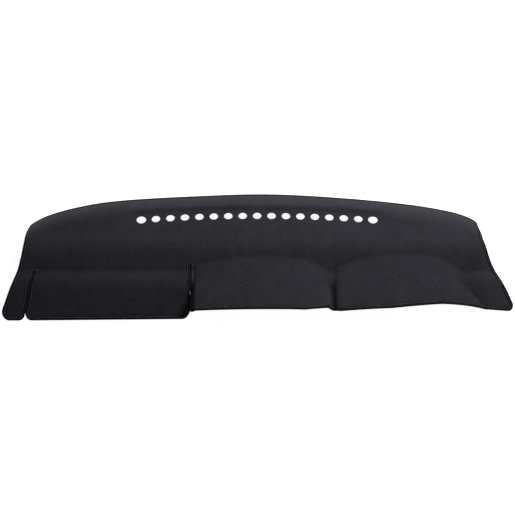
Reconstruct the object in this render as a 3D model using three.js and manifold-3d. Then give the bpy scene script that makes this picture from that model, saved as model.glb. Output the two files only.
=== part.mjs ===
import Module from "manifold-3d";
import * as THREE from "three";
import * as BufferGeometryUtils from "three/addons/utils/BufferGeometryUtils.js";

// Dashboard cover mat: one formed sheet of flannel with a bound edge and hook pads under it.
// x runs along the dash, y towards the windscreen and z up from the floor the mat rests on.
// Every length is in millimetres.

// Half the width at the windscreen, and how far the mat reaches back there
const REAR_HALF = 640;
const REAR_Y = 209;

// Sheet and edge
const SHEET = 4.0;
const RIM = 2.4;
const BINDING_WIDTH = 9;
const TAPE = 0.9;
const FIT_GAP = 0.3;
const SLIT_WIDTH = 3.2;

// Heights of the formed sheet
const Z_BACK = 42;
const Z_CREST = 78;
const Z_VALLEY = 53;
const Z_FOLD = 57;

// Lines that cross the mat, from the windscreen to the driver
const BACK = 211;
const CREST = 14;
const VALLEY = -46;
const FOLD = -80;
const FOOT_LEFT = -168;
const FOOT_RIGHT = -196;
const ROLL = 84;

// The flap turns steeper towards the right, and both ends of the pad lie lower
const FOOT_TURN = { from: 420, run: 180 };
const END_FALL = { depth: 12, from: 380, run: 240, frontY: -20, fade: 120 };

// Widths of the soft bends at those lines
const CREST_BEND = 64;
const VALLEY_BEND = 24;
const FOLD_BEND = 56;

// Vent row and the shallow channel it lies in
const VENTS = 17;
const VENT_PITCH = 39.4;
const VENT_R = 12.4;
const END_VENT_R = 13.6;
const ROW_X = -1;
const ROW_Y = 116;
const ROW_BOW = 14;
const ROW_HALF = VENT_PITCH * (VENTS - 1) / 2;
const CHANNEL_DEPTH = 6;
const CHANNEL_BACK = 34;
const CHANNEL_STEP = 14;
const CHANNEL_FRONT = 10;
const CHANNEL_RUNOUT = 60;
const CHANNEL_END = 52;

// Slits
const SLIT_B_X = -179.1;
const SLIT_B_TOP = -33;
const SLIT_A_TOP = [48.5 - REAR_HALF, -51];
const SLIT_A_MOUTH = [18.5 - REAR_HALF, -167];

// Hoods: a crowned top, its two flanks and the line where its back sinks into the sheet
const CENTRE_HOOD = {
  crown: 10, top: 68.5, rise: 0.02, left: 175, dropLeft: 10, right: 174, dropRight: 15,
  steepLeft: 1.8, steepRight: 0.7, back: 16,
};
const DRIVER_HOOD = {
  crown: 385, top: 71, rise: 0.03, left: 175, dropLeft: 15, right: 214, dropRight: 48,
  steepLeft: 1.4, steepRight: 0.5, back: 20,
};
const FLANK_BEND = 14;
const BACK_BEND = 30;
const HOOD_BLEND = 8;
const VALLEY_BLEND = 26;

// Right-hand end, where the sheet droops to its tip
const DROOP_X = REAR_HALF - 40;
const DROOP = 0.36;
const DROOP_BEND = 40;

// Corners of the plan: where they are, and their radii
const LEFT_SIDE = {
  rearX: 12 - REAR_HALF, waistX: 17 - REAR_HALF, waistY: 10, hipX: -5 - REAR_HALF, hipY: -74,
  tipX: -48 - REAR_HALF,
};
const RIGHT_SIDE = {
  rearX: REAR_HALF - 29, neckX: REAR_HALF - 37, neckY: 95, waistX: REAR_HALF - 35, waistY: 36,
  bendX: REAR_HALF - 23, bendY: -14, hipX: REAR_HALF + 7, hipY: -65, tipX: REAR_HALF + 52, tipY: -139.5,
};
const FLAP = { y: -167, endY: -163.5 };
const CENTRE_FRONT = { y: -162.5, bendX: 125, bendY: -161.5 };
const NOTCH = { x: 188, y: -145 };
const DRIVER_FRONT = {
  x: 214, y: -163.5, midX: 470, midY: -145, endX: REAR_HALF - 40, endY: -142.5,
};
const RADII = {
  rearLeft: 24, rearRight: 11, tongue: 18, mouthLeft: 16, mouthRight: 15, flapEnd: 22, centre: 12,
  centreBend: 80, notch: 14, driver: 16, tip: 14, neck: 90, soft: 200, hip: 130,
};

// Hook pads under the sheet
const PAD = { length: 56, width: 22, thick: 1.8 };
const PAD_ROW = { y: 57, inner: 165, outer: 470 };
const PAD_FLAP = { y: -126, left: -500, right: -290 };
const PAD_SPOTS = [
  ["hook_pad_rear_left", -PAD_ROW.outer, PAD_ROW.y],
  ["hook_pad_mid_left", -PAD_ROW.inner, PAD_ROW.y],
  ["hook_pad_mid_right", PAD_ROW.inner, PAD_ROW.y],
  ["hook_pad_rear_right", PAD_ROW.outer, PAD_ROW.y],
  ["hook_pad_flap_left", PAD_FLAP.left, PAD_FLAP.y],
  ["hook_pad_flap_right", PAD_FLAP.right, PAD_FLAP.y],
];

// The binding is sewn on in lengths: each has a name and a start, in turn round the edge
const BINDING_RUNS = [
  ["binding_rear", RIGHT_SIDE.neckX, RIGHT_SIDE.neckY],
  ["binding_left_end", LEFT_SIDE.rearX, RIGHT_SIDE.neckY],
  ["binding_tongue", (LEFT_SIDE.tipX + SLIT_A_MOUTH[0]) / 2, FLAP.y],
  ["binding_flap_left", ...SLIT_A_TOP],
  ["binding_flap", SLIT_A_MOUTH[0] + 2 * RADII.mouthRight, FLAP.y],
  ["binding_flap_right", SLIT_B_X - 1.5 * RADII.flapEnd, FLAP.endY],
  ["binding_hood_left", SLIT_B_X, SLIT_B_TOP],
  ["binding_centre_hood", SLIT_B_X + 2 * RADII.centre, CENTRE_FRONT.y],
  ["binding_driver_hood", NOTCH.x, NOTCH.y],
  ["binding_right_end", DRIVER_FRONT.endX, DRIVER_FRONT.endY],
];

// Mesh density
const FINEST = 9;
const COARSEST = 30;
const SAG = 0.45;
const GRID = 7;

const clamp = (v, low, high) => Math.min(high, Math.max(low, v));

function smooth(v) {
  const t = clamp(v, 0, 1);
  return t * t * (3 - 2 * t);
}

// 0 before the bend and t after it, with a soft turn of the given width between
function bend(t, width) {
  if (t >= width / 2) return t;
  const s = clamp(t / width + 0.5, 0, 1);
  return width * (s ** 3 - s ** 4 / 2);
}

// The higher of two surfaces with the valley between them rounded
function blendUp(a, b, k) {
  const h = clamp(0.5 + 0.5 * (a - b) / k, 0, 1);
  return b + (a - b) * h + k * h * (1 - h);
}

// Edge of the mat at the windscreen: a smooth curve through shares of its half width and its depth
const REAR = [
  [-1, 0.526], [-0.912, 0.682], [-0.781, 0.809], [-0.625, 0.895], [-0.312, 0.964], [0.047, 1],
  [0.406, 0.933], [0.688, 0.833], [0.852, 0.73], [0.922, 0.648], [1, 0.507],
].map(([across, deep]) => [across * REAR_HALF, deep * REAR_Y]);

function rearSlope(i) {
  const a = REAR[Math.max(i - 1, 0)];
  const b = REAR[Math.min(i + 1, REAR.length - 1)];
  return (b[1] - a[1]) / (b[0] - a[0]);
}

function rearLine(x) {
  const px = clamp(x, REAR[0][0], REAR[REAR.length - 1][0]);
  let i = 0;
  while (i < REAR.length - 2 && px > REAR[i + 1][0]) i += 1;
  const [x0, y0] = REAR[i];
  const [x1, y1] = REAR[i + 1];
  const w = x1 - x0;
  const t = (px - x0) / w;
  const m0 = rearSlope(i) * w;
  const m1 = rearSlope(i + 1) * w;
  const t2 = t * t;
  const t3 = t2 * t;
  return y0 * (2 * t3 - 3 * t2 + 1) + m0 * (t3 - 2 * t2 + t) + y1 * (3 * t2 - 2 * t3) + m1 * (t3 - t2);
}

// The sheet without its hoods: rolled rear strip, pad, front slope, ledge and flap
function baseHeight(x, y) {
  const foot = FOOT_LEFT + (FOOT_RIGHT - FOOT_LEFT) * smooth((x - FOOT_TURN.from) / FOOT_TURN.run);
  const padSlope = (Z_CREST - Z_BACK) / (BACK - CREST);
  const frontSlope = (Z_VALLEY - Z_CREST) / (CREST - VALLEY);
  const ledgeSlope = (Z_FOLD - Z_VALLEY) / (VALLEY - FOLD);
  const flapSlope = -Z_FOLD / (FOLD - foot);
  const d = BACK - y;
  let z = Z_BACK + padSlope * d;
  z += (frontSlope - padSlope) * bend(d - (BACK - CREST), CREST_BEND);
  z += (ledgeSlope - frontSlope) * bend(d - (BACK - VALLEY), VALLEY_BEND);
  z += (flapSlope - ledgeSlope) * bend(d - (BACK - FOLD), FOLD_BEND);
  const r = clamp(1 - (rearLine(x) - y) / ROLL, 0, 2);
  const outwards = smooth((Math.abs(x) - END_FALL.from) / END_FALL.run);
  const ends = END_FALL.depth * outwards * smooth((y - END_FALL.frontY) / END_FALL.fade);
  return (z - ends) * (1 - r * r) - DROOP * bend(x - DROOP_X, DROOP_BEND);
}

const rowLine = (x) => ROW_Y - ROW_BOW * ((x - ROW_X) / ROW_HALF) ** 2;

function channel(x, y) {
  const d = rowLine(x) - y;
  const sunk = smooth((d + CHANNEL_BACK) / CHANNEL_STEP);
  const across = sunk * (1 - smooth((d + CHANNEL_FRONT) / CHANNEL_RUNOUT));
  const along = smooth((ROW_HALF + CHANNEL_END - Math.abs(x - ROW_X)) / CHANNEL_RUNOUT);
  return -CHANNEL_DEPTH * across * along;
}

function hood(h, x, y) {
  const v = x - h.crown;
  let z = h.top - h.rise * y;
  z -= v < 0 ? h.dropLeft * (v / h.left) ** 2 : h.dropRight * (v / h.right) ** 3;
  z -= h.steepLeft * bend(-h.left - v, FLANK_BEND);
  z -= h.steepRight * bend(v - h.right, FLANK_BEND);
  return z - bend(y - h.back, BACK_BEND);
}

// Height of the middle of the sheet; the centre hood starts only right of its slit
function height(x, y) {
  const sheet = baseHeight(x, y) + channel(x, y);
  let raised = hood(DRIVER_HOOD, x, y);
  if (x > SLIT_B_X) raised = blendUp(hood(CENTRE_HOOD, x, y), raised, VALLEY_BLEND);
  return blendUp(sheet, raised, HOOD_BLEND);
}

function gradient(x, y) {
  const e = 0.5;
  return [
    (height(x + e, y) - height(x - e, y)) / (2 * e),
    (height(x, y + e) - height(x, y - e)) / (2 * e),
  ];
}

function normal(x, y) {
  const [gx, gy] = gradient(x, y);
  return new THREE.Vector3(-gx, -gy, 1).normalize();
}

const onSheet = (x, y) => new THREE.Vector3(x, y, height(x, y));

// Spacing of mesh points: close where the sheet bends, wide where it is flat
function spacing(x, y) {
  const e = 5;
  const z = height(x, y);
  const right = height(x + e, y);
  const left = height(x - e, y);
  const rear = height(x, y + e);
  const front = height(x, y - e);
  const across = (right - 2 * z + left) / (e * e);
  const along = (rear - 2 * z + front) / (e * e);
  const twist = (height(x + e, y + e) - right - rear + z) / (e * e);
  const bending = Math.hypot(across, along, twist, twist);
  return clamp(Math.sqrt(8 * SAG / Math.max(bending, 1e-6)), FINEST, COARSEST);
}

// Outline in plan, counter-clockwise: corners are [x, y, corner radius]
const half = SLIT_WIDTH / 2;

function slit(top, mouth) {
  const run = new THREE.Vector2(top[0] - mouth[0], top[1] - mouth[1]).normalize();
  const side = new THREE.Vector2(run.y, -run.x).multiplyScalar(half);
  const end = new THREE.Vector2(top[0], top[1]).addScaledVector(run, half);
  return [
    [end.x - side.x, end.y - side.y, half * 0.999],
    [end.x + side.x, end.y + side.y, half * 0.999],
  ];
}

const slitBTop = slit([SLIT_B_X, SLIT_B_TOP], [SLIT_B_X, CENTRE_FRONT.y]);
const slitATop = slit(SLIT_A_TOP, SLIT_A_MOUTH);

const [MOUTH_X, MOUTH_Y] = SLIT_A_MOUTH;

const CORNERS = [
  [LEFT_SIDE.rearX, rearLine(LEFT_SIDE.rearX), RADII.rearLeft],
  [LEFT_SIDE.waistX, LEFT_SIDE.waistY, RADII.soft],
  [LEFT_SIDE.hipX, LEFT_SIDE.hipY, RADII.hip],
  [LEFT_SIDE.tipX, MOUTH_Y, RADII.tongue],
  [MOUTH_X - half, MOUTH_Y, RADII.mouthLeft],
  ...slitATop,
  [MOUTH_X + half, FLAP.y, RADII.mouthRight],
  [SLIT_B_X - half, FLAP.endY, RADII.flapEnd],
  ...slitBTop,
  [SLIT_B_X + half, CENTRE_FRONT.y, RADII.centre],
  [CENTRE_FRONT.bendX, CENTRE_FRONT.bendY, RADII.centreBend],
  [NOTCH.x, NOTCH.y, RADII.notch],
  [DRIVER_FRONT.x, DRIVER_FRONT.y, RADII.driver],
  [DRIVER_FRONT.midX, DRIVER_FRONT.midY, RADII.soft],
  [DRIVER_FRONT.endX, DRIVER_FRONT.endY, RADII.soft],
  [RIGHT_SIDE.tipX, RIGHT_SIDE.tipY, RADII.tip],
  [RIGHT_SIDE.hipX, RIGHT_SIDE.hipY, RADII.hip],
  [RIGHT_SIDE.bendX, RIGHT_SIDE.bendY, RADII.hip],
  [RIGHT_SIDE.waistX, RIGHT_SIDE.waistY, RADII.hip],
  [RIGHT_SIDE.neckX, RIGHT_SIDE.neckY, RADII.neck],
  [RIGHT_SIDE.rearX, rearLine(RIGHT_SIDE.rearX), RADII.rearRight],
];

// Arc points of one rounded corner
function cornerArc(before, corner, after) {
  const p = new THREE.Vector2(corner[0], corner[1]);
  const u = new THREE.Vector2(before[0], before[1]).sub(p).normalize();
  const v = new THREE.Vector2(after[0], after[1]).sub(p).normalize();
  const turn = Math.PI - Math.acos(clamp(u.dot(v), -1, 1));
  const reach = corner[2] * Math.tan(turn / 2);
  const centre = u.clone().add(v).normalize().multiplyScalar(corner[2] / Math.cos(turn / 2)).add(p);
  const start = p.clone().addScaledVector(u, reach).sub(centre);
  const sign = Math.sign(u.clone().negate().cross(v));
  const steps = Math.max(2, Math.ceil(turn / (Math.PI / 7)), Math.ceil(corner[2] * turn / COARSEST));
  const arc = [];
  for (let i = 0; i <= steps; i += 1) {
    const a = start.clone().rotateAround(new THREE.Vector2(), sign * turn * i / steps).add(centre);
    arc.push([a.x, a.y]);
  }
  return arc;
}

// Points between two ends, as close as the bends there ask
function divide(a, b, at) {
  const length = Math.hypot(b[0] - a[0], b[1] - a[1]);
  const inside = [];
  const probes = 60;
  let need = 0;
  const run = [0];
  for (let i = 0; i < probes; i += 1) {
    const p = at((i + 0.5) / probes);
    need += length / probes / Math.min(spacing(p[0], p[1]), COARSEST * 0.8);
    run.push(need);
  }
  const count = Math.max(1, Math.round(need));
  for (let k = 1; k < count; k += 1) {
    const target = need * k / count;
    let i = 0;
    while (run[i + 1] < target) i += 1;
    inside.push(at((i + (target - run[i]) / (run[i + 1] - run[i])) / probes));
  }
  return inside;
}

function outline() {
  const n = CORNERS.length;
  const startX = RIGHT_SIDE.rearX - 3 * RADII.rearRight;
  const endX = LEFT_SIDE.rearX + 2 * RADII.rearLeft;
  const rearStart = [startX, rearLine(startX)];
  const rearEnd = [endX, rearLine(endX)];
  const points = [];
  for (let i = 0; i < n; i += 1) {
    const before = i === 0 ? rearEnd : CORNERS[i - 1];
    const after = i === n - 1 ? rearStart : CORNERS[i + 1];
    const arc = cornerArc(before, CORNERS[i], after);
    if (i > 0) {
      const a = points[points.length - 1];
      const b = arc[0];
      points.push(...divide(a, b, (t) => [a[0] + (b[0] - a[0]) * t, a[1] + (b[1] - a[1]) * t]));
    }
    points.push(...arc);
  }
  const a = points[points.length - 1];
  const b = points[0];
  const offA = a[1] - rearLine(a[0]);
  const offB = b[1] - rearLine(b[0]);
  points.push(...divide(a, b, (t) => {
    const x = a[0] + (b[0] - a[0]) * t;
    return [x, rearLine(x) + offA * (1 - t) ** 8 + offB * t ** 8];
  }));
  return points;
}

// Inward direction of the outline at each of its points
function inwards(points) {
  const n = points.length;
  return points.map((p, i) => {
    const a = points[(i + n - 1) % n];
    const b = points[(i + 1) % n];
    const u = new THREE.Vector2(p[0] - a[0], p[1] - a[1]).normalize();
    const v = new THREE.Vector2(b[0] - p[0], b[1] - p[1]).normalize();
    const t = u.add(v).normalize();
    return new THREE.Vector2(-t.y, t.x);
  });
}

const EDGE = outline();
const EDGE_IN = inwards(EDGE);

// Inner line of the bound edge, a tape's width away along the sheet
const INNER = EDGE.map((p, i) => {
  const inward = EDGE_IN[i];
  const [gx, gy] = gradient(p[0] + inward.x, p[1] + inward.y);
  const slope = gx * inward.x + gy * inward.y;
  const reach = BINDING_WIDTH / Math.hypot(1, slope);
  return [p[0] + inward.x * reach, p[1] + inward.y * reach];
});

// Vent holes
function vents() {
  const holes = [];
  for (let i = 0; i < VENTS; i += 1) {
    const x = ROW_X - ROW_HALF + VENT_PITCH * i;
    const end = i === 0 || i === VENTS - 1;
    holes.push({ x, y: rowLine(x), r: end ? END_VENT_R : VENT_R });
  }
  return holes;
}

const HOLES = vents();
const HOLE_SIDES = 16;

function holeRing(hole, r) {
  const ring = [];
  for (let k = 0; k < HOLE_SIDES; k += 1) {
    const a = 2 * Math.PI * (k + 0.5) / HOLE_SIDES;
    ring.push([hole.x + r * Math.cos(a), hole.y + r * Math.sin(a)]);
  }
  return ring;
}

function insideLoop(loop, x, y) {
  let inside = false;
  for (let i = 0, j = loop.length - 1; i < loop.length; j = i, i += 1) {
    const [xi, yi] = loop[i];
    const [xj, yj] = loop[j];
    if ((yi > y) !== (yj > y) && x < (xj - xi) * (y - yi) / (yj - yi) + xi) inside = !inside;
  }
  return inside;
}

function awayFrom(loop, x, y) {
  let best = Infinity;
  for (let i = 0, j = loop.length - 1; i < loop.length; j = i, i += 1) {
    const [ax, ay] = loop[j];
    const dx = loop[i][0] - ax;
    const dy = loop[i][1] - ay;
    const t = clamp(((x - ax) * dx + (y - ay) * dy) / (dx * dx + dy * dy), 0, 1);
    best = Math.min(best, Math.hypot(x - ax - dx * t, y - ay - dy * t));
  }
  return best;
}

// Points inside the sheet, the closely spaced ones placed first
function innerPoints() {
  const wanted = [];
  const low = [0, 1].map((k) => Math.min(...INNER.map((p) => p[k])));
  const high = [0, 1].map((k) => Math.max(...INNER.map((p) => p[k])));
  for (let row = 1; low[1] + row * GRID < high[1]; row += 1) {
    for (let col = 0; low[0] + col * GRID < high[0]; col += 1) {
      const x = low[0] + (col + (row % 2) / 2) * GRID;
      const y = low[1] + row * GRID;
      if (!insideLoop(INNER, x, y)) continue;
      const step = spacing(x, y);
      if (awayFrom(INNER, x, y) < 0.6 * Math.min(step, COARSEST / 2)) continue;
      const near = HOLES.some((h) => Math.hypot(x - h.x, y - h.y) < h.r + VENT_R / 2);
      if (!near) wanted.push({ x, y, step });
    }
  }
  wanted.sort((a, b) => Math.round(a.step - b.step) || a.y - b.y || a.x - b.x);
  const kept = [];
  for (const w of wanted) {
    if (kept.every((k) => Math.hypot(k.x - w.x, k.y - w.y) > 0.93 * w.step)) kept.push(w);
  }
  return kept.map((w) => [w.x + 0.11 * Math.sin(w.y * 1.7), w.y + 0.11 * Math.sin(w.x * 1.3)]);
}

function circle(points, a, b, c) {
  const [ax, ay] = points[a];
  const bx = points[b][0] - ax;
  const by = points[b][1] - ay;
  const cx = points[c][0] - ax;
  const cy = points[c][1] - ay;
  const d = 2 * (bx * cy - by * cx);
  const bb = bx * bx + by * by;
  const cc = cx * cx + cy * cy;
  const ux = (cy * bb - by * cc) / d;
  const uy = (bx * cc - cx * bb) / d;
  return { a, b, c, x: ux + ax, y: uy + ay, rr: ux * ux + uy * uy };
}

// Delaunay triangles over plan points, each counter-clockwise
function triangulate(plan) {
  const far = 40000;
  const points = plan.concat([[-far, -far], [far, -far], [0, far]]);
  const n = plan.length;
  let tris = [circle(points, n, n + 1, n + 2)];
  for (let i = 0; i < n; i += 1) {
    const [x, y] = points[i];
    const border = new Map();
    const stay = [];
    for (const t of tris) {
      if ((t.x - x) ** 2 + (t.y - y) ** 2 >= t.rr) {
        stay.push(t);
        continue;
      }
      for (const [p, q] of [[t.a, t.b], [t.b, t.c], [t.c, t.a]]) {
        if (border.has(`${q},${p}`)) border.delete(`${q},${p}`);
        else border.set(`${p},${q}`, [p, q]);
      }
    }
    for (const [p, q] of border.values()) stay.push(circle(points, p, q, i));
    tris = stay;
  }
  return tris.filter((t) => Math.max(t.a, t.b, t.c) < n);
}

// A mesh built from points and triangles given by number
function solid(name, vertices, faces, material) {
  const geometry = new THREE.BufferGeometry();
  const numbers = vertices.flatMap((v) => [v.x, v.y, v.z]);
  geometry.setAttribute("position", new THREE.Float32BufferAttribute(numbers, 3));
  geometry.setIndex(faces.flat());
  geometry.computeVertexNormals();
  const mesh = new THREE.Mesh(geometry, material);
  mesh.name = name;
  return mesh;
}

// The flannel panel
function panel(material) {
  const rim = EDGE.length;
  const plan = [...INNER];
  const rings = HOLES.map((h) => {
    const start = rim + plan.length;
    plan.push(...holeRing(h, h.r));
    return start;
  });
  plan.push(...innerPoints());
  const all = [...EDGE, ...plan];
  const holeLoops = HOLES.map((h) => holeRing(h, h.r));
  const top = [];
  for (let i = 0; i < rim; i += 1) {
    const j = (i + 1) % rim;
    top.push([i, j, rim + j], [i, rim + j, rim + i]);
  }
  for (const t of triangulate(plan)) {
    const x = (plan[t.a][0] + plan[t.b][0] + plan[t.c][0]) / 3;
    const y = (plan[t.a][1] + plan[t.b][1] + plan[t.c][1]) / 3;
    if (!insideLoop(INNER, x, y)) continue;
    if (holeLoops.some((loop) => insideLoop(loop, x, y))) continue;
    top.push([rim + t.a, rim + t.b, rim + t.c]);
  }
  const vertices = [];
  for (const side of [1, -1]) {
    all.forEach(([x, y], i) => {
      const thick = i < 2 * rim ? RIM : SHEET;
      vertices.push(onSheet(x, y).addScaledVector(normal(x, y), side * thick / 2));
    });
  }
  const under = all.length;
  const faces = [...top];
  for (const [a, b, c] of top) faces.push([a + under, c + under, b + under]);
  for (let i = 0; i < rim; i += 1) {
    const j = (i + 1) % rim;
    faces.push([i, i + under, j + under], [i, j + under, j]);
  }
  for (const start of rings) {
    for (let k = 0; k < HOLE_SIDES; k += 1) {
      const i = start + k;
      const j = start + (k + 1) % HOLE_SIDES;
      faces.push([i, j, j + under], [i, j + under, i + under]);
    }
  }
  return solid("mat_panel", vertices, faces, material);
}

// U section of the tape: share of its width inwards, height over the sheet, and reach past the rim
const INSIDE = RIM / 2 + FIT_GAP;
const OUTSIDE = INSIDE + TAPE;
const LIP = 0.92;
const SECTION = [
  [LIP, OUTSIDE, 0], [0.02, OUTSIDE, 0], [0, OUTSIDE * 0.68, FIT_GAP + TAPE * 0.75], [0, 0, FIT_GAP + TAPE],
  [0, -OUTSIDE * 0.68, FIT_GAP + TAPE * 0.75], [0.02, -OUTSIDE, 0], [LIP, -OUTSIDE, 0],
  [LIP, -INSIDE, 0], [0, -INSIDE, FIT_GAP], [0, INSIDE, FIT_GAP], [LIP, INSIDE, 0],
];
const SECTION_FACES = [
  [0, 1, 9], [0, 9, 10], [1, 2, 9], [2, 3, 9], [3, 8, 9],
  [3, 4, 8], [4, 5, 8], [5, 6, 7], [5, 7, 8],
];

function sectionAt(i) {
  const rim = onSheet(...EDGE[i]);
  const deep = onSheet(...INNER[i]);
  const out = rim.clone().sub(deep).normalize();
  const rimNormal = normal(...EDGE[i]);
  const deepNormal = normal(...INNER[i]);
  return SECTION.map(([part, up, away]) => {
    const v = rim.clone().lerp(deep, part);
    v.addScaledVector(rimNormal.clone().lerp(deepNormal, part), up);
    return v.addScaledVector(out, away);
  });
}

function nearestOnEdge([x, y]) {
  const away = EDGE.map((p) => Math.hypot(p[0] - x, p[1] - y));
  return away.indexOf(Math.min(...away));
}

// One length of tape folded round the edge, between two of the edge's points
function binding(name, first, last, material) {
  const n = EDGE.length;
  const m = SECTION.length;
  const count = (last - first + n) % n + 1;
  const rings = Array.from({ length: count }, (_, k) => sectionAt((first + k) % n));
  const trim = (end, next) => {
    const share = FIT_GAP / 2 / end[3].distanceTo(next[3]);
    end.forEach((v, k) => v.lerp(next[k], share));
  };
  trim(rings[0], rings[1]);
  trim(rings[count - 1], rings[count - 2]);
  const faces = [];
  for (let i = 0; i < count - 1; i += 1) {
    for (let k = 0; k < m; k += 1) {
      const l = (k + 1) % m;
      const [a, b, c, d] = [i * m + k, i * m + l, (i + 1) * m + l, (i + 1) * m + k];
      if (SECTION[k][0] > SECTION[l][0]) faces.push([a, b, d], [b, c, d]);
      else faces.push([a, b, c], [a, c, d]);
    }
  }
  const end = (count - 1) * m;
  for (const [a, b, c] of SECTION_FACES) {
    faces.push([a, c, b], [end + a, end + b, end + c]);
  }
  return solid(name, rings.flat(), faces, material);
}

// Solids that can be cut
const wasm = await Module();
wasm.setup();

function cuttable(mesh) {
  const vertProperties = new Float32Array(mesh.geometry.attributes.position.array);
  const triVerts = new Uint32Array(mesh.geometry.index.array);
  return new wasm.Manifold(new wasm.Mesh({ numProp: 3, vertProperties, triVerts }));
}

// A hook pad: a block with a flat foot, its top cut to the underside of the sheet
function hookPad(name, cx, cy, sheet, material) {
  const n = normal(cx, cy);
  const along = new THREE.Vector3(1, 0, 0).addScaledVector(n, -n.x).normalize();
  const across = n.clone().cross(along);
  const depth = SHEET / 2 + FIT_GAP + PAD.thick;
  const turn = new THREE.Matrix4().makeBasis(along, across, n);
  const place = onSheet(cx, cy).addScaledVector(n, -depth / 2);
  const block = BufferGeometryUtils.mergeVertices(
    new THREE.BoxGeometry(PAD.length, PAD.width, depth).deleteAttribute("normal").deleteAttribute("uv"),
  );
  block.applyMatrix4(turn).translate(place.x, place.y, place.z);
  const lowered = cuttable(sheet).translate([-n.x * FIT_GAP, -n.y * FIT_GAP, -n.z * FIT_GAP]);
  const cut = cuttable({ geometry: block }).subtract(lowered).getMesh();
  const geometry = new THREE.BufferGeometry();
  geometry.setAttribute("position", new THREE.BufferAttribute(new Float32Array(cut.vertProperties), 3));
  geometry.setIndex(new THREE.BufferAttribute(new Uint32Array(cut.triVerts), 1));
  geometry.computeVertexNormals();
  const mesh = new THREE.Mesh(geometry, material);
  mesh.name = name;
  return mesh;
}

const flannel = new THREE.MeshStandardMaterial({ color: 0x1b1a20, roughness: 1, metalness: 0 });
const tape = new THREE.MeshStandardMaterial({ color: 0x141318, roughness: 0.95, metalness: 0 });
const hook = new THREE.MeshStandardMaterial({ color: 0x101012, roughness: 0.8, metalness: 0 });

const mat = new THREE.Group();
mat.name = "dashboard_mat";
const sheet = panel(flannel);
mat.add(sheet);
const joins = BINDING_RUNS.map(([, x, y]) => nearestOnEdge([x, y]));
BINDING_RUNS.forEach(([name], i) => {
  mat.add(binding(name, joins[i], joins[(i + 1) % joins.length], tape));
});
for (const [name, x, y] of PAD_SPOTS) mat.add(hookPad(name, x, y, sheet, hook));

// The origin is below the middle of the mat, on the floor
const box = new THREE.Box3().setFromObject(mat, true);
const middle = box.getCenter(new THREE.Vector3());
mat.position.set(-middle.x, -middle.y, -box.min.z);
mat.updateMatrixWorld(true);

export default mat;
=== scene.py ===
import math

import bpy
import numpy as np
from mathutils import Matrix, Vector
from mathutils.geometry import delaunay_2d_cdt


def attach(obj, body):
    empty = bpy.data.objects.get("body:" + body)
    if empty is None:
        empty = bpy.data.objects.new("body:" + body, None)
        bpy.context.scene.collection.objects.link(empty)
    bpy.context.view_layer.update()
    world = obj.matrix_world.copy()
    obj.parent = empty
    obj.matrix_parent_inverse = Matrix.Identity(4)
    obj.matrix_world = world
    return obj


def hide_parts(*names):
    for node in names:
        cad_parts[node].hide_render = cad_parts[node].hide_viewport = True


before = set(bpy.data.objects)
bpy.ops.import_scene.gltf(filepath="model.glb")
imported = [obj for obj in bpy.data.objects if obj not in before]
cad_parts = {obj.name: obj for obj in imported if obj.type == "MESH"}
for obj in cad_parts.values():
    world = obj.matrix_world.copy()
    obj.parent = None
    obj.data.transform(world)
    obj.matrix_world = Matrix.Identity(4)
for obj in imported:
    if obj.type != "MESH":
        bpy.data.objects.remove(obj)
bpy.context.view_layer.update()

# Dashboard cover mat: formed black flannel with a bound and stitched edge.
# Lengths are in millimetres in the CAD source's own coordinates, and SHIFT takes them to the row frame.
MM = 0.001
SHIFT = np.array([-1.972, -21.138, 3.262])

# Camera: the photograph looks down on the mat from the seats
CAMERA_TARGET = (0.0, 0.0, 35.0)
CAMERA_DISTANCE = 2500.0
CAMERA_ELEVATION = 66.0
SENSOR = 36.0
LENS = 64.73

# Sheet and edge
SHEET = 4.0
RIM = 2.4
BINDING_WIDTH = 9.0
TAPE = 0.9
FIT_GAP = 0.3
SLIT_A_WIDTH, SLIT_B_WIDTH = 2.46, 2.1

# Heights of the formed sheet, and the lines that cross it
Z_BACK, Z_CREST, Z_VALLEY, Z_FOLD = 42.0, 78.0, 53.0, 57.0
BACK, CREST, VALLEY, FOLD = 211.0, 14.0, -46.0, -80.0
FOOT_LEFT, FOOT_RIGHT = -168.0, -196.0
FOOT_TURN = {"from": 420.0, "run": 180.0}
END_FALL = {"depth": 12.0, "from": 380.0, "run": 240.0, "front_y": -20.0, "fade": 120.0}
ROLL = 84.0
CREST_BEND, VALLEY_BEND, FOLD_BEND = 48.0, 20.0, 56.0

# Vent row and the shallow channel it lies in
VENTS = 17
VENT_PITCH = 39.4
VENT_R = 11.8
END_VENT_R = 13.0
ROW_X, ROW_Y, ROW_BOW = -1.0, 116.0, 14.0
ROW_HALF = VENT_PITCH * (VENTS - 1) / 2
CHANNEL = {"depth": 6.0, "back": 34.0, "step": 14.0, "front": 10.0, "runout": 60.0, "end": 52.0}

# Slits
SLIT_B_X, SLIT_B_TOP = -179.1, -33.0
SLIT_A_TOP = (-591.5, -51.0)
SLIT_A_MOUTH = (-621.5, -167.0)

# Hoods
CENTRE_HOOD = {
    "crown": 10.0, "top": 68.5, "rise": 0.02, "left": 175.0, "drop_left": 10.0,
    "right": 174.0, "drop_right": 15.0, "steep_left": 1.8, "steep_right": 0.7, "back": 16.0,
}
DRIVER_HOOD = {
    "crown": 385.0, "top": 71.0, "rise": 0.03, "left": 175.0, "drop_left": 15.0,
    "right": 214.0, "drop_right": 48.0, "steep_left": 1.4, "steep_right": 0.5, "back": 20.0,
}
FLANK_BEND, BACK_BEND = 14.0, 30.0
HOOD_BLEND, VALLEY_BLEND = 3.0, 18.0
DROOP_X, DROOP, DROOP_BEND = 600.0, 0.36, 40.0

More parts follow.
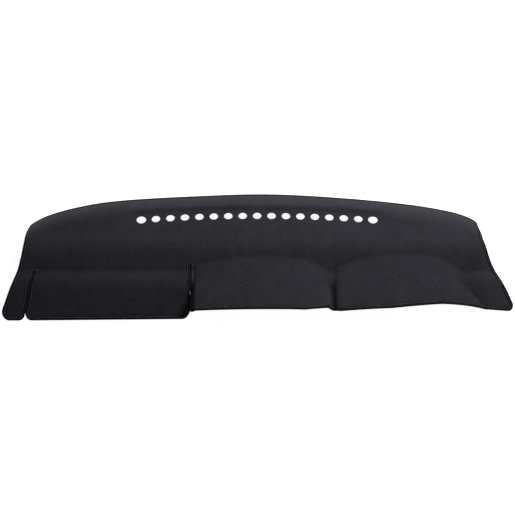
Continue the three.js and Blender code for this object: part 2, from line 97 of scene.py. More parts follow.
# Edge at the windscreen, as shares of its half width and its depth
REAR_HALF, REAR_Y = 640.0, 209.0
REAR = np.array([
    (-1, 0.526), (-0.912, 0.682), (-0.781, 0.809), (-0.625, 0.895), (-0.312, 0.964), (0.047, 1),
    (0.406, 0.933), (0.688, 0.833), (0.852, 0.73), (0.922, 0.648), (1, 0.507),
]) * (REAR_HALF, REAR_Y)

# Hook pads under the sheet
PAD_LENGTH, PAD_WIDTH, PAD_THICK = 56.0, 22.0, 1.8
PADS = {
    "hook_pad_rear_left": (-470.0, 57.0),
    "hook_pad_mid_left": (-165.0, 57.0),
    "hook_pad_mid_right": (165.0, 57.0),
    "hook_pad_rear_right": (470.0, 57.0),
    "hook_pad_flap_left": (-500.0, -126.0),
    "hook_pad_flap_right": (-290.0, -126.0),
}

# Fineness of the visual mesh: its grid, the steps along the edge and round a hole
GRID = 4.6
ROW_STEP = GRID * 0.866
EDGE_STEP = 3.0
ARC_STEP = math.radians(11)
HOLE_SIDES = 40

# Extra lines of points that follow the edge and the holes, and the space kept between them and the grid
EDGE_BANDS = (3.5, 7.0, 9.6)
HOLE_RINGS = (0.9, 2.4)
GRID_OFF_TAPE, GRID_OFF_HOLE = 2.6, 4.6

# The sheet swells from the rim to its full thickness over SWELL, and is rounded off at the holes
SWELL = 5.0
HOLE_ROUND, HOLE_LIP = 2.4, 0.68

# Painted shade in creases: hollowness is judged over this span, and the painted shade reaches full strength
# at this depth
CREASE_SHADE_SPAN, CREASE_SHADE_DEPTH = 9.0, 1.3

# Stitches: one row through both sides of the tape
STITCH_IN = 6.4
STITCH_PITCH = 4.2
STITCH_LENGTH = 3.3
THREAD_R = 0.42
STITCH_DENT = 0.34
STITCH_TURN = 0.035
STITCH_SPREAD = (0.92, 1.06)

# Hooks on a pad: rows at a pitch, each a stem of four narrowing rings whose tip leans over
PAD_BASE, PAD_SEAT = 0.9, 0.15
HOOK_PITCH, HOOK_LEAN = 1.75, 0.42
HOOK_RADII = (0.2, 0.19, 0.17, 0.1)
HOOK_ANGLES = (0.5, 2.6, 4.7)

# Studio
FLOOR_SIZE, FLOOR_DROP = 9000.0, 0.4

rng = np.random.default_rng(7)


# --- Form of the sheet ---


def smooth(v):
    t = np.clip(v, 0, 1)
    return t * t * (3 - 2 * t)


def bend(t, width):
    """0 before the bend and t after it, with a soft turn of the given width between."""
    s = np.clip(t / width + 0.5, 0, 1)
    return np.where(t >= width / 2, t, width * (s**3 - s**4 / 2))


def blend_up(a, b, k):
    """The higher of two surfaces, with the valley between them rounded."""
    h = np.clip(0.5 + 0.5 * (a - b) / k, 0, 1)
    return b + (a - b) * h + k * h * (1 - h)


REAR_SLOPE = np.array([
    (REAR[min(i + 1, len(REAR) - 1)] - REAR[max(i - 1, 0)]) for i in range(len(REAR))
])
REAR_SLOPE = REAR_SLOPE[:, 1] / REAR_SLOPE[:, 0]


def rear_line(x):
    px = np.clip(x, REAR[0, 0], REAR[-1, 0])
    i = np.clip(np.searchsorted(REAR[:, 0], px, side="right") - 1, 0, len(REAR) - 2)
    w = REAR[i + 1, 0] - REAR[i, 0]
    t = (px - REAR[i, 0]) / w
    t2, t3 = t * t, t * t * t
    ends = REAR[i, 1] * (2 * t3 - 3 * t2 + 1) + REAR[i + 1, 1] * (3 * t2 - 2 * t3)
    return ends + REAR_SLOPE[i] * w * (t3 - 2 * t2 + t) + REAR_SLOPE[i + 1] * w * (t3 - t2)


def base_height(x, y):
    """Rolled rear strip, pad, front slope, ledge and flap."""
    foot = FOOT_LEFT + (FOOT_RIGHT - FOOT_LEFT) * smooth((x - FOOT_TURN["from"]) / FOOT_TURN["run"])
    pad = (Z_CREST - Z_BACK) / (BACK - CREST)
    front = (Z_VALLEY - Z_CREST) / (CREST - VALLEY)
    ledge = (Z_FOLD - Z_VALLEY) / (VALLEY - FOLD)
    flap = -Z_FOLD / (FOLD - foot)
    d = BACK - y
    z = Z_BACK + pad * d
    z = z + (front - pad) * bend(d - (BACK - CREST), CREST_BEND)
    z = z + (ledge - front) * bend(d - (BACK - VALLEY), VALLEY_BEND)
    z = z + (flap - ledge) * bend(d - (BACK - FOLD), FOLD_BEND)
    r = np.clip(1 - (rear_line(x) - y) / ROLL, 0, 2)
    outwards = smooth((np.abs(x) - END_FALL["from"]) / END_FALL["run"])
    ends = END_FALL["depth"] * outwards * smooth((y - END_FALL["front_y"]) / END_FALL["fade"])
    return (z - ends) * (1 - r * r) - DROOP * bend(x - DROOP_X, DROOP_BEND)


def row_line(x):
    return ROW_Y - ROW_BOW * ((x - ROW_X) / ROW_HALF) ** 2


def channel(x, y):
    d = row_line(x) - y
    across = smooth((d + CHANNEL["back"]) / CHANNEL["step"])
    across = across * (1 - smooth((d + CHANNEL["front"]) / CHANNEL["runout"]))
    along = smooth((ROW_HALF + CHANNEL["end"] - np.abs(x - ROW_X)) / CHANNEL["runout"])
    return -CHANNEL["depth"] * across * along


def hood(h, x, y):
    v = x - h["crown"]
    z = h["top"] - h["rise"] * y
    left = h["drop_left"] * (v / h["left"]) ** 2
    right = h["drop_right"] * (v / h["right"]) ** 3
    z = z - np.where(v < 0, left, right)
    z = z - h["steep_left"] * bend(-h["left"] - v, FLANK_BEND)
    z = z - h["steep_right"] * bend(v - h["right"], FLANK_BEND)
    return z - bend(y - h["back"], BACK_BEND)


def height(x, y):
    """Height of the middle of the sheet. The centre hood starts only right of its slit."""
    sheet = base_height(x, y) + channel(x, y)
    driver = hood(DRIVER_HOOD, x, y)
    centre = blend_up(hood(CENTRE_HOOD, x, y), driver, VALLEY_BLEND)
    return blend_up(sheet, np.where(x > SLIT_B_X, centre, driver), HOOD_BLEND)


def gradient(x, y):
    e = 0.5
    return (
        (height(x + e, y) - height(x - e, y)) / (2 * e),
        (height(x, y + e) - height(x, y - e)) / (2 * e),
    )


def painted_crease_shade(x, y):
    """Strength of the painted shade at a point, from how hollow the form is: 0 on flats and ridges, 1 in
    the sharpest creases.
    """
    e = CREASE_SHADE_SPAN
    around = height(x + e, y) + height(x - e, y) + height(x, y + e) + height(x, y - e)
    off_slit = smooth((np.abs(x - SLIT_B_X) - e) / e)
    return np.clip((around / 4 - height(x, y)) / CREASE_SHADE_DEPTH, 0, 1) * off_slit


def unit(v):
    return v / np.linalg.norm(v, axis=-1, keepdims=True)


def on_sheet(p):
    return np.column_stack([p, height(p[:, 0], p[:, 1])])


def normals(p):
    gx, gy = gradient(p[:, 0], p[:, 1])
    return unit(np.column_stack([-gx, -gy, np.ones(len(p))]))


# --- Outline in plan ---

HALF_A, HALF_B = SLIT_A_WIDTH / 2, SLIT_B_WIDTH / 2


def slit(top, mouth, half):
    run = unit(np.subtract(top, mouth))
    side = np.array([run[1], -run[0]]) * half
    end = np.add(top, run * half)
    return [(*(end - side), half * 0.999), (*(end + side), half * 0.999)]


# Corners of the edge, in order from the rear left: x, y and the radius that rounds it
CORNERS = [
    (-628.0, float(rear_line(-628.0)), 24.0),
    (-623.0, 10.0, 200.0),
    (-645.0, -74.0, 130.0),
    (-688.0, -167.0, 18.0),
    (SLIT_A_MOUTH[0] - HALF_A, -167.0, 16.0),
    *slit(SLIT_A_TOP, SLIT_A_MOUTH, HALF_A),
    (SLIT_A_MOUTH[0] + HALF_A, -167.0, 15.0),
    (SLIT_B_X - HALF_B, -163.5, 22.0),
    *slit((SLIT_B_X, SLIT_B_TOP), (SLIT_B_X, -162.5), HALF_B),
    (SLIT_B_X + HALF_B, -162.5, 12.0),
    (125.0, -161.5, 80.0),
    (188.0, -152.0, 14.0),
    (214.0, -163.5, 16.0),
    (350.0, -160.0, 200.0),
    (480.0, -147.0, 200.0),
    (600.0, -144.5, 200.0),
    (692.0, -139.5, 14.0),
    (647.0, -65.0, 130.0),
    (617.0, -14.0, 130.0),
    (605.0, 36.0, 130.0),
    (603.0, 95.0, 90.0),
    (611.0, float(rear_line(611.0)), 11.0),
]


def corner_arc(before, corner, after):
    p = np.array(corner[:2])
    u = unit(np.array(before[:2]) - p)
    v = unit(np.array(after[:2]) - p)
    turn = math.pi - math.acos(np.clip(u @ v, -1, 1))
    radius = corner[2]
    centre = p + unit(u + v) * radius / math.cos(turn / 2)
    start = p + u * radius * math.tan(turn / 2) - centre
    sign = np.sign(-u[0] * v[1] + u[1] * v[0])
    steps = max(2, math.ceil(turn / ARC_STEP), math.ceil(radius * turn / EDGE_STEP))
    a = sign * turn * np.arange(steps + 1) / steps
    c, s = np.cos(a), np.sin(a)
    turned = np.column_stack([c * start[0] - s * start[1], s * start[0] + c * start[1]])
    return turned + centre


def between(a, b):
    """Shares of the way from a to b, without the ends, about EDGE_STEP apart."""
    count = max(1, round(float(np.hypot(*(b - a))) / EDGE_STEP))
    return np.arange(1, count)[:, None] / count


def outline():
    start_x = CORNERS[-1][0] - 3 * CORNERS[-1][2]
    end_x = CORNERS[0][0] + 2 * CORNERS[0][2]
    ends = [(end_x, float(rear_line(end_x))), *CORNERS, (start_x, float(rear_line(start_x)))]
    parts = []
    for i in range(1, len(ends) - 1):
        arc = corner_arc(ends[i - 1], ends[i], ends[i + 1])
        if parts:
            a, b = parts[-1][-1], arc[0]
            parts.append(a + (b - a) * between(a, b))
        parts.append(arc)
    a, b = parts[-1][-1], parts[0][0]
    t = between(a, b)
    x = a[0] + (b[0] - a[0]) * t
    off = (a[1] - rear_line(a[0])) * (1 - t) ** 8 + (b[1] - rear_line(b[0])) * t**8
    parts.append(np.column_stack([x, rear_line(x) + off]))
    return np.vstack([p for p in parts if len(p)])


def inwards(points):
    before, after = np.roll(points, 1, 0), np.roll(points, -1, 0)
    t = unit(unit(points - before) + unit(after - points))
    return np.column_stack([-t[:, 1], t[:, 0]])


EDGE = outline()
EDGE_IN = inwards(EDGE)


def offset_line(distance):
    """The line that lies this far in from the edge, measured along the sheet."""
    gx, gy = gradient(EDGE[:, 0] + EDGE_IN[:, 0], EDGE[:, 1] + EDGE_IN[:, 1])
    slope = gx * EDGE_IN[:, 0] + gy * EDGE_IN[:, 1]
    return EDGE + EDGE_IN * (distance / np.hypot(1, slope))[:, None]


INNER = offset_line(BINDING_WIDTH)

VENT_X = ROW_X - ROW_HALF + VENT_PITCH * np.arange(VENTS)
HOLES = [
    (x, float(row_line(x)), END_VENT_R if i in (0, VENTS - 1) else VENT_R)
    for i, x in enumerate(VENT_X)
]


def ring(hole, more):
    a = 2 * math.pi * (np.arange(HOLE_SIDES) + 0.5) / HOLE_SIDES
    r = hole[2] + more
    return np.column_stack([hole[0] + r * np.cos(a), hole[1] + r * np.sin(a)])


def inside(loop, p):
    """Which of the points lie inside the loop."""
    result = np.zeros(len(p), bool)
    a, b = loop, np.roll(loop, -1, 0)
    for (ax, ay), (bx, by) in zip(a, b):
        if ay == by:
            continue
        crosses = (ay > p[:, 1]) != (by > p[:, 1])
        result ^= crosses & (p[:, 0] < (bx - ax) * (p[:, 1] - ay) / (by - ay) + ax)
    return result


def away_from(loop, p):
    """Distance in plan from each point to the loop."""
    best = np.full(len(p), np.inf)
    for a, b in zip(loop, np.roll(loop, -1, 0)):
        d = b - a
        t = np.clip(((p - a) @ d) / (d @ d), 0, 1)
        off = p - a - t[:, None] * d
        best = np.minimum(best, (off**2).sum(1))
    return np.sqrt(best)


# --- Meshes ---


def add_mesh(name, vertices, faces, materials, sharp=None):
    mesh = bpy.data.meshes.new(name)
    mesh.from_pydata(((vertices + SHIFT) * MM).tolist(), [], faces)
    for m in materials:
        mesh.materials.append(m)
    mesh.shade_smooth()
    if sharp is not None:
        mesh.set_sharp_from_angle(angle=math.radians(sharp))
    obj = bpy.data.objects.new(name, mesh)
    bpy.context.scene.collection.objects.link(obj)
    return obj


def sheet_plan():
    """Points of the sheet in plan, its triangles, and the input point that each plan point came from."""
    low, high = EDGE.min(0), EDGE.max(0)
    rows = int((high[1] - low[1]) / ROW_STEP) + 1
    cols = int((high[0] - low[0]) / GRID) + 1
    r, c = np.mgrid[0:rows, 0:cols]
    grid = np.column_stack([
        (low[0] + (c + (r % 2) / 2) * GRID).ravel(),
        (low[1] + r * ROW_STEP).ravel(),
    ])
    grid = grid[inside(EDGE, grid)]
    distance = away_from(EDGE, grid)
    grid = grid[distance > BINDING_WIDTH + GRID_OFF_TAPE]
    clear = np.ones(len(grid), bool)
    for hx, hy, hr in HOLES:
        clear &= np.hypot(grid[:, 0] - hx, grid[:, 1] - hy) > hr + GRID_OFF_HOLE
    grid = grid[clear]
    bands = []
    for more in EDGE_BANDS:
        line = offset_line(more)
        bands.append(line[away_from(EDGE, line) > more / 2])
    rings = [ring(h, more) for h in HOLES for more in HOLE_RINGS]
    cut = [ring(h, 0.0) for h in HOLES]
    points = np.vstack([EDGE, *cut, *bands, *rings, grid])
    edges = [(i, (i + 1) % len(EDGE)) for i in range(len(EDGE))]
    for k in range(len(HOLES)):
        start = len(EDGE) + k * HOLE_SIDES
        edges += [(start + i, start + (i + 1) % HOLE_SIDES) for i in range(HOLE_SIDES)]
    found = delaunay_2d_cdt([Vector(p) for p in points], edges, [], 0, 1e-4)
    plan = np.array([(v.x, v.y) for v in found[0]])
    tris = np.array(found[2])
    origin = np.array([o[0] if o else -1 for o in found[3]])
    middle = plan[tris].mean(1)
    keep = inside(EDGE, middle)
    for loop in cut:
        keep &= ~inside(loop, middle)
    tris = tris[keep]
    a, b, c = plan[tris[:, 0]], plan[tris[:, 1]], plan[tris[:, 2]]
    area = (b[:, 0] - a[:, 0]) * (c[:, 1] - a[:, 1]) - (b[:, 1] - a[:, 1]) * (c[:, 0] - a[:, 0])
    tris[area < 0] = tris[area < 0][:, ::-1]
    return plan, tris, origin


def thickness(plan):
    """Thin under the tape, full beyond it, and rounded off at the vent holes."""
    t = RIM + (SHEET - RIM) * smooth((away_from(EDGE, plan) - BINDING_WIDTH + 1) / SWELL)
    for hx, hy, hr in HOLES:
        d = np.hypot(plan[:, 0] - hx, plan[:, 1] - hy) - hr
        near = d < 3
        t[near] *= HOLE_LIP + (1 - HOLE_LIP) * np.sqrt(smooth((d[near] + 0.15) / HOLE_ROUND))
    return t


def make_panel(materials):
    plan, tris, origin = sheet_plan()
    count = len(plan)
    middle, n, half = on_sheet(plan), normals(plan), thickness(plan)[:, None] / 2
    vertices = np.vstack([middle + n * half, middle - n * half])
    faces = tris.tolist() + (tris[:, ::-1] + count).tolist()
    at = np.full(origin.max() + 1, -1)
    at[origin] = np.arange(count)
    loops = [(0, len(EDGE), False)]
    loops += [(len(EDGE) + k * HOLE_SIDES, HOLE_SIDES, True) for k in range(len(HOLES))]
    for start, size, hole in loops:
        line = at[start:start + size]
        for a, b in zip(line, np.roll(line, -1)):
            quad = [int(a), int(b), int(b) + count, int(a) + count]
            faces.append(quad if hole else quad[::-1])
    panel = add_mesh("flannel_panel", vertices, faces, materials, sharp=50)
    # Painted shade: each point carries how strongly the flannel darkens it in the creases of the form
    crease_shade_mask = panel.data.attributes.new("painted_crease_shade", "FLOAT", "POINT").data
    crease_shade_mask.foreach_set("value", np.tile(painted_crease_shade(plan[:, 0], plan[:, 1]), 2))
    back = np.zeros(len(faces), np.int32)
    back[len(tris):2 * len(tris)] = 1
    panel.data.polygons.foreach_set("material_index", back)
    corners = vertices[tris]
    area = np.linalg.norm(np.cross(corners[:, 1] - corners[:, 0], corners[:, 2] - corners[:, 0]), axis=1)
    return panel, area.sum() / 2 * MM**2


def tape_section():
    """U section of the tape: share of its width inwards, height over the sheet, reach past the rim."""
    inside_h = RIM / 2 + FIT_GAP
    outside_h = inside_h + TAPE
    dent = STITCH_IN / BINDING_WIDTH
    top = [
        (0.955, inside_h + 0.15, 0), (0.965, inside_h + 0.5, 0), (0.94, outside_h - 0.1, 0),
        (0.88, outside_h, 0), (dent + 0.09, outside_h - 0.08, 0), (dent, outside_h - STITCH_DENT, 0),
        (dent - 0.09, outside_h - 0.06, 0), (0.45, outside_h + 0.12, 0), (0.25, outside_h + 0.16, 0),
        (0.1, outside_h + 0.06, 0),
    ]
    out = FIT_GAP + TAPE
    turns = [(0, outside_h * math.cos(a), out * math.sin(a)) for a in np.radians([22, 45, 68])]
    upper = top + turns
    lower = [(u, -h, o) for u, h, o in reversed(upper)]
    inner = [(0.5, -inside_h, 0), (0, -inside_h, FIT_GAP), (0, inside_h, FIT_GAP), (0.5, inside_h, 0)]
    return [*upper, (0, 0, out), *lower, *inner]


def make_binding(material):
    section = tape_section()
    rim, deep = on_sheet(EDGE), on_sheet(INNER)
    n_rim, n_deep = normals(EDGE), normals(INNER)
    out = unit(rim - deep)
    along = np.concatenate([[0], np.cumsum(np.linalg.norm(np.diff(rim, axis=0), axis=1))])
    wave = 0.12 * np.sin(along / 5.3) + 0.1 * np.sin(along / 9.7 + 1) + 0.06 * np.sin(along / 2.9 + 2)
    count, m = len(EDGE), len(section)
    rings = []
    for share, up, away in section:
        reach = share + 0.012 * wave * (share > 0.9)
        lift = up + np.sign(up) * 0.5 * wave * (0.1 < share < 0.6)
        v = rim + (deep - rim) * (reach if np.ndim(reach) == 0 else reach[:, None])
        n = n_rim + (n_deep - n_rim) * share
        rings.append(v + n * np.reshape(lift, (-1, 1)) + out * away)
    vertices = np.stack(rings, 1).reshape(-1, 3)
    faces = []
    for i in range(count):
        j = (i + 1) % count
        for k in range(m):
            q = (k + 1) % m
            faces.append((i * m + k, i * m + q, j * m + q, j * m + k))
    binding = add_mesh("edge_binding", vertices, faces, [material], sharp=70)
    girth = np.cumsum([0] + [
        math.hypot((b[0] - a[0]) * BINDING_WIDTH + a[2] - b[2], b[1] - a[1])
        for a, b in zip(section, section[1:] + section[:1])
    ])
    total = float(along[-1] + np.linalg.norm(rim[0] - rim[-1]))
    ends = np.append(along, total)
    uv = binding.data.uv_layers.new(name="tape").data
    values = np.empty((count, m, 4, 2))
    i, k = np.mgrid[0:count, 0:m]
    values[..., 0, 0] = values[..., 1, 0] = ends[i]
    values[..., 2, 0] = values[..., 3, 0] = ends[i + 1]
    values[..., 0, 1] = values[..., 3, 1] = girth[k]
    values[..., 1, 1] = values[..., 2, 1] = girth[k + 1]
    uv.foreach_set("uv", (values * MM).ravel())
    return binding


def capsule(sides, rings):
    """Points of a capsule of radius 1 and half length 1 along x, as (x, cap, y, z), and its faces."""
    rows = [(-1, -1, 0.0)]
    angles = np.linspace(math.pi / 2, 0, rings, endpoint=False)[1:]
    rows += [(-1, -math.sin(a), math.cos(a)) for a in angles] + [(-1, 0, 1.0), (1, 0, 1.0)]
    rows += [(1, math.sin(a), math.cos(a)) for a in reversed(angles)] + [(1, 1, 0.0)]
    points, faces = [], []
    for x, cap, r in rows[1:-1]:
        for k in range(sides):
            a = 2 * math.pi * k / sides
            points.append((x, cap, r * math.cos(a), r * math.sin(a)))
    loops = len(rows) - 2
    for i in range(loops - 1):
        for k in range(sides):
            q = (k + 1) % sides
            faces.append((i * sides + k, i * sides + q, (i + 1) * sides + q, (i + 1) * sides + k))
    first, last = loops * sides, loops * sides + 1
    points += [(-1, -1, 0, 0), (1, 1, 0, 0)]
    for k in range(sides):
        q = (k + 1) % sides
        faces.append((first, q, k))
        faces.append((last, (loops - 1) * sides + k, (loops - 1) * sides + q))
    return np.array(points, float), np.array([f if len(f) == 4 else (*f, -1) for f in faces])


def strew(template, faces, centre, along, up, half_length, radius):
    """Copies of a capsule at the given places: along is its length and up is its height."""
    side = np.cross(up, along)
    x = template[None, :, 0, None] * half_length[:, None, None] * along[:, None]
    x = x + template[None, :, 1, None] * radius * along[:, None]
    yz = template[None, :, 2, None] * side[:, None] + template[None, :, 3, None] * up[:, None]
    vertices = (centre[:, None] + x + yz * radius).reshape(-1, 3)
    first = (np.arange(len(centre)) * len(template))[:, None, None]
    shifted = faces[None] + np.where(faces < 0, 0, 1)[None] * first
    listed = [tuple(int(v) for v in f if v >= 0) for f in shifted.reshape(-1, 4)]
    return vertices, listed


def make_stitching(material):
    """A row of stitches on both faces of the tape."""
    line = on_sheet(offset_line(STITCH_IN))
    closed = np.vstack([line, line[:1]])
    run = np.concatenate([[0], np.cumsum(np.linalg.norm(np.diff(closed, axis=0), axis=1))])
    count = round(run[-1] / STITCH_PITCH)
    s = (np.arange(count) + 0.5) * run[-1] / count

    def at(v):
        return np.column_stack([np.interp(v % run[-1], run, closed[:, k]) for k in range(3)])

    centre = at(s)
    along = unit(at(s + 1) - at(s - 1))
    n = normals(centre[:, :2])
    up = unit(n - (n * along).sum(1, keepdims=True) * along)
    side = np.cross(up, along)
    jitter = rng.normal(0, STITCH_TURN, (2, count, 1))
    template, faces = capsule(6, 2)
    lift = RIM / 2 + FIT_GAP + TAPE - STITCH_DENT + THREAD_R * 0.55
    half = np.full(count, STITCH_LENGTH / 2 - THREAD_R) * rng.uniform(*STITCH_SPREAD, count)
    parts = [
        strew(template, faces, centre + way * up * lift, unit(along + side * turn), up, half, THREAD_R)
        for way, turn in ((1, jitter[0]), (-1, jitter[1]))
    ]
    vertices = np.vstack([p[0] for p in parts])
    more = len(parts[0][0])
    listed = parts[0][1] + [tuple(v + more for v in f) for f in parts[1][1]]
    return add_mesh("stitching", vertices, listed, [material])


def make_hook_pad(name, place, material):
    """A strip of tape under the sheet, set with rows of small hooks that end on a flat foot."""
    centre = on_sheet(np.array([place]))[0]
    n = normals(np.array([place]))[0]
    along = unit(np.array([1.0, 0, 0]) - n[0] * n)
    across = np.cross(n, along)
    foot = SHEET / 2 + FIT_GAP + PAD_THICK
    us, vs = np.linspace(-0.5, 0.5, 29), np.linspace(-0.5, 0.5, 12)
    u, v = np.meshgrid(us * PAD_LENGTH, vs * PAD_WIDTH, indexing="ij")
    tangent = centre + u.reshape(-1, 1) * along + v.reshape(-1, 1) * across
    plan = tangent[:, :2]
    drop = ((tangent - on_sheet(plan)) @ n)[:, None]
    under = tangent - n * (drop + SHEET / 2 + PAD_SEAT)
    lower = under - n * PAD_BASE
    count = len(under)
    rows, cols = len(us), len(vs)
    faces = []
    for i in range(rows - 1):
        for j in range(cols - 1):
            a, b, c, d = i * cols + j, (i + 1) * cols + j, (i + 1) * cols + j + 1, i * cols + j + 1
            faces += [(a, b, c, d), (d + count, c + count, b + count, a + count)]
    edge = [i * cols for i in range(rows)] + [(rows - 1) * cols + j for j in range(1, cols)]
    edge += [i * cols + cols - 1 for i in range(rows - 2, -1, -1)] + list(range(cols - 2, 0, -1))
    for a, b in zip(edge, edge[1:] + edge[:1]):
        faces.append((a, a + count, b + count, b))
    hu = np.arange(-PAD_LENGTH / 2 + 1.2, PAD_LENGTH / 2 - 0.8, HOOK_PITCH)
    hv = np.arange(-PAD_WIDTH / 2 + 1.1, PAD_WIDTH / 2 - 0.8, HOOK_PITCH)
    hu, hv = (g.ravel() for g in np.meshgrid(hu, hv))
    root = centre + hu[:, None] * along + hv[:, None] * across
    away = ((root - on_sheet(root[:, :2])) @ n)[:, None]
    start = root - n * (away + SHEET / 2 + PAD_SEAT + PAD_BASE * 0.8)
    tip = root - n * foot
    lean = np.where(np.arange(len(hu)) % 2, 1, -1)[:, None] * along * HOOK_LEAN
    shape = [start, start + (tip - start) * 0.75, tip + n * 0.12 + lean * 0.5, tip + n * 0.28 + lean]
    around = [(math.cos(a), math.sin(a)) for a in HOOK_ANGLES]
    hooks = np.stack([
        p + r * (c * along + s * across) for p, r in zip(shape, HOOK_RADII) for c, s in around
    ], 1)
    first = 2 * count
    for h in range(len(hu)):
        o = first + h * 12
        for k in range(3):
            for q in range(3):
                w = (q + 1) % 3
                faces.append((o + 3 * k + q, o + 3 * k + 3 + q, o + 3 * k + 3 + w, o + 3 * k + w))
        faces.append((o + 9, o + 11, o + 10))
        faces.append((o, o + 1, o + 2))
    vertices = np.vstack([under, lower, hooks.reshape(-1, 3)])
    return add_mesh(name, vertices, faces, [material], sharp=40)


# --- Materials ---


class Nodes:
    """A short way to build one material's node tree."""

    def __init__(self, name, **shader):
        self.material = bpy.data.materials.new(name)
        self.material.use_nodes = True
        self.tree = self.material.node_tree
        self.shader = self.tree.nodes["Principled BSDF"]
        for socket, value in shader.items():
            self.shader.inputs[socket.replace("_", " ")].default_value = value

    def add(self, kind, links=(), **settings):
        node = self.tree.nodes.new(kind)
        for key, value in settings.items():
            if key in node.inputs:
                node.inputs[key].default_value = value
            else:
                setattr(node, key, value)
        for socket, source in dict(links).items():
            self.tree.links.new(source, node.inputs[socket])
        return node

    def to_shader(self, socket, source):
        self.tree.links.new(source, self.shader.inputs[socket])

    def place(self, scale=(1, 1, 1), turn=(0, 0, 0)):
        """Coordinates in metres, turned and stretched."""
        where = self.add("ShaderNodeTexCoord").outputs["Object"]
        moved = self.add("ShaderNodeMapping", {"Vector": where}, Scale=scale, Rotation=turn)
        return moved.outputs["Vector"]

    def noise(self, scale, where, detail=3.0, rough=0.55, distortion=0.0):
        links = {"Vector": where}
        node = self.add(
            "ShaderNodeTexNoise", links, Scale=scale, Detail=detail, Roughness=rough, Distortion=distortion,
        )
        return node.outputs["Fac"]

    def maths(self, operation, a, b):
        node = self.add("ShaderNodeMath", operation=operation)
        for i, value in enumerate((a, b)):
            if isinstance(value, (int, float)):
                node.inputs[i].default_value = value
            else:
                self.tree.links.new(value, node.inputs[i])
        return node.outputs[0]

    def spread(self, value, low, high, to_low=0.0, to_high=1.0):
        node = self.add("ShaderNodeMapRange", {"Value": value})
        for key, number in (
            ("From Min", low), ("From Max", high), ("To Min", to_low), ("To Max", to_high)
        ):
            node.inputs[key].default_value = number
        return node.outputs["Result"]

    def mix(self, share, a, b):
        node = self.add("ShaderNodeMix", {"Factor": share}, data_type="RGBA")
        for socket, value in ((6, a), (7, b)):
            if isinstance(value, tuple):
                node.inputs[socket].default_value = (*value, 1)
            else:
                self.tree.links.new(value, node.inputs[socket])
        return node.outputs[2]

    def bump(self, value, distance, strength, after=None):
        links = {"Height": value}
        if after is not None:
            links["Normal"] = after
        node = self.add("ShaderNodeBump", links, Distance=distance, Strength=strength)
        return node.outputs["Normal"]


def flannel(name, dark, light, coarse):
    """Short brushed pile: fine fibres in many directions, soft tufts and slow changes of tone, with painted
    shade darkening the creases of the form.
    """
    m = Nodes(name, Roughness=0.92, Sheen_Weight=0.05, Sheen_Roughness=0.5)
    m.shader.inputs["Sheen Tint"].default_value = (0.78, 0.78, 0.92, 1)
    m.shader.inputs["Specular IOR Level"].default_value = 0.16
    strands = []
    for turn in (0.3, 1.35, 2.4):
        where = m.place((1, 0.16, 1), (0, 0, turn))
        strands.append(m.noise(900 / coarse, where, 2, 0.6, 0.4))
    fibres = m.maths("MAXIMUM", m.maths("MAXIMUM", strands[0], strands[1]), strands[2])
    plain = m.place()
    tufts = m.noise(300 / coarse, plain, 4, 0.62)
    clouds = m.noise(26, plain, 4, 0.6, 0.3)
    patches = m.noise(6.5, plain, 2, 0.5)
    tone = m.maths("ADD", m.maths("MULTIPLY", fibres, 0.45), m.maths("MULTIPLY", tufts, 0.55))
    tone = m.maths("ADD", tone, m.maths("MULTIPLY", m.spread(clouds, 0.3, 0.7, -1, 1), 0.05))
    base = m.mix(m.spread(tone, 0.4, 0.72), dark, light)
    cool = (light[0] * 0.55, light[1] * 0.75, light[2] * 0.8)
    drift = m.spread(patches, 0.42, 0.62, 0.0, 0.22)
    # Painted shade: the creases of the form are darkened towards a darker copy of the pile colour
    crease_shade_mask = m.add("ShaderNodeAttribute", attribute_name="painted_crease_shade").outputs["Fac"]
    painted_shade_colour = tuple(0.35 * v for v in dark)
    m.to_shader("Base Color", m.mix(m.maths("MULTIPLY", crease_shade_mask, 0.6), m.mix(drift, base, cool), painted_shade_colour))
    low = m.bump(m.maths("ADD", tufts, m.maths("MULTIPLY", clouds, 0.8)), 0.0016, 0.45)
    m.to_shader("Normal", m.bump(fibres, 0.0007, 0.5, low))
    return m.material


def woven_tape():
    """Ribbed binding tape, its ribs running across it."""
    m = Nodes("binding_tape", Roughness=0.9, Sheen_Weight=0.02, Sheen_Roughness=0.35)
    m.shader.inputs["Specular IOR Level"].default_value = 0.1
    where = m.add("ShaderNodeUVMap", uv_map="tape").outputs["UV"]
    ribs = m.add(
        "ShaderNodeTexWave", {"Vector": where}, Scale=310.0, Distortion=1.2, Detail=2.0,
        bands_direction="X",
    ).outputs["Fac"]
    yarns = m.add(
        "ShaderNodeTexWave", {"Vector": where}, Scale=420.0, Distortion=1.6, Detail=1.0,
        bands_direction="Y",
    ).outputs["Fac"]
    weave = m.maths("MULTIPLY", m.spread(ribs, 0, 1, 0.45, 1), m.spread(yarns, 0, 1, 0.6, 1))
    worn = m.noise(60, m.place(), 4, 0.6)
    tone = m.maths("ADD", m.maths("MULTIPLY", weave, 0.6), m.maths("MULTIPLY", worn, 0.4))
    m.to_shader("Base Color", m.mix(tone, (0.0012, 0.0012, 0.0016), (0.0065, 0.0062, 0.0075)))
    m.to_shader("Normal", m.bump(weave, 0.0005, 0.6))
    return m.material


def thread():
    m = Nodes("thread", Roughness=0.6, Sheen_Weight=0.3, Sheen_Roughness=0.4)
    twist = m.noise(1400, m.place((1, 1, 0.4), (0, 0, 0.7)), 2)
    m.to_shader("Base Color", m.mix(twist, (0.028, 0.027, 0.032), (0.07, 0.068, 0.078)))
    m.to_shader("Normal", m.bump(twist, 0.0003, 0.5))
    return m.material


def hook_tape():
    m = Nodes("hook_tape", Roughness=0.42)
    grain = m.noise(500, m.place(), 3)
    m.to_shader("Base Color", m.mix(grain, (0.008, 0.008, 0.009), (0.022, 0.022, 0.025)))
    m.to_shader("Normal", m.bump(grain, 0.0003, 0.3))
    return m.material


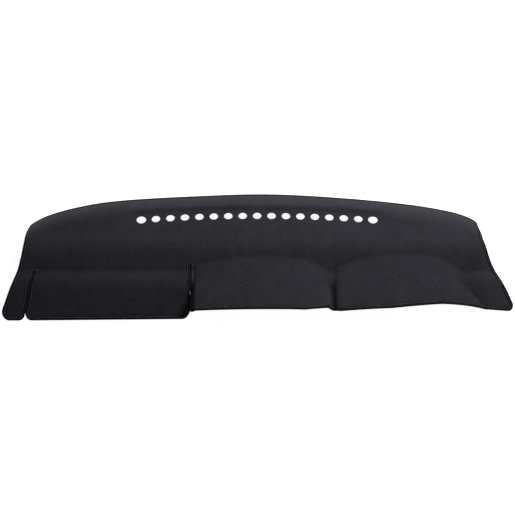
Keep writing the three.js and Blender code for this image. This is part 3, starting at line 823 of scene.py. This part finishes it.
def floor_paint():
    m = Nodes("floor", Roughness=0.7)
    m.shader.inputs["Emission Color"].default_value = (1, 1, 1, 1)
    m.shader.inputs["Emission Strength"].default_value = 0.95
    mottle = m.noise(3, m.place(), 3)
    m.to_shader("Base Color", m.mix(mottle, (0.34, 0.34, 0.345), (0.37, 0.37, 0.373)))
    return m.material


# --- Pieces ---

scene = bpy.context.scene

camera = bpy.data.objects.new("camera", bpy.data.cameras.new("camera"))
scene.collection.objects.link(camera)
scene.camera = camera
tilt = math.radians(CAMERA_ELEVATION)
back_off = np.array([0, -math.cos(tilt), math.sin(tilt)]) * CAMERA_DISTANCE
camera.location = (np.array(CAMERA_TARGET) + back_off + SHIFT) * MM
camera.rotation_euler = (math.pi / 2 - tilt, 0, 0)
camera.data.sensor_width = SENSOR
camera.data.lens = LENS

panel, sheet_area = make_panel([
    flannel("flannel_face", (0.0034, 0.0032, 0.0045), (0.0172, 0.0163, 0.0218), 1.0),
    flannel("flannel_back", (0.0045, 0.0045, 0.0054), (0.015, 0.015, 0.018), 1.6),
])
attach(panel, "root")
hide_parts("mat_panel")

binding = make_binding(woven_tape())
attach(binding, "root")
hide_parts(*[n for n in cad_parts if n.startswith("binding_")])

stitching = make_stitching(thread())
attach(stitching, "root")

hooks = hook_tape()
for name, place in PADS.items():
    pad = make_hook_pad(name.replace("hook_pad", "hook_strip"), place, hooks)
    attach(pad, "root")
    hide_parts(name)

# --- Studio ---

corner = np.array([(-1, -1, 0), (1, -1, 0), (1, 1, 0), (-1, 1, 0)]) * FLOOR_SIZE
floor = add_mesh("floor", corner - SHIFT - (0, 0, FLOOR_DROP), [(0, 1, 2, 3)], [floor_paint()])


def area_light(name, place, target, size, spread, power, colour):
    light = bpy.data.lights.new(name, "AREA")
    light.spread = math.radians(spread)
    light.shape = "RECTANGLE"
    light.size, light.size_y = size
    light.energy = power
    light.color = colour
    obj = bpy.data.objects.new(name, light)
    obj.location = place
    obj.rotation_euler = (Vector(target) - Vector(place)).to_track_quat("-Z", "Y").to_euler()
    scene.collection.objects.link(obj)


area_light("key", (1.9, 1.6, 2.5), (0.04, 0, 0), (1.3, 0.8), 48, 22.2, (1, 0.97, 1))
area_light("fill", (0.9, -2.2, 2.6), (0.2, 0, 0), (2.4, 1.2), 180, 12, (0.8, 0.88, 1))

world = bpy.data.worlds.new("studio")
world.use_nodes = True
world.node_tree.nodes["Background"].inputs["Color"].default_value = (0.95, 0.96, 1, 1)
world.node_tree.nodes["Background"].inputs["Strength"].default_value = 0.1
scene.world = world
scene.view_settings.view_transform = "Standard"
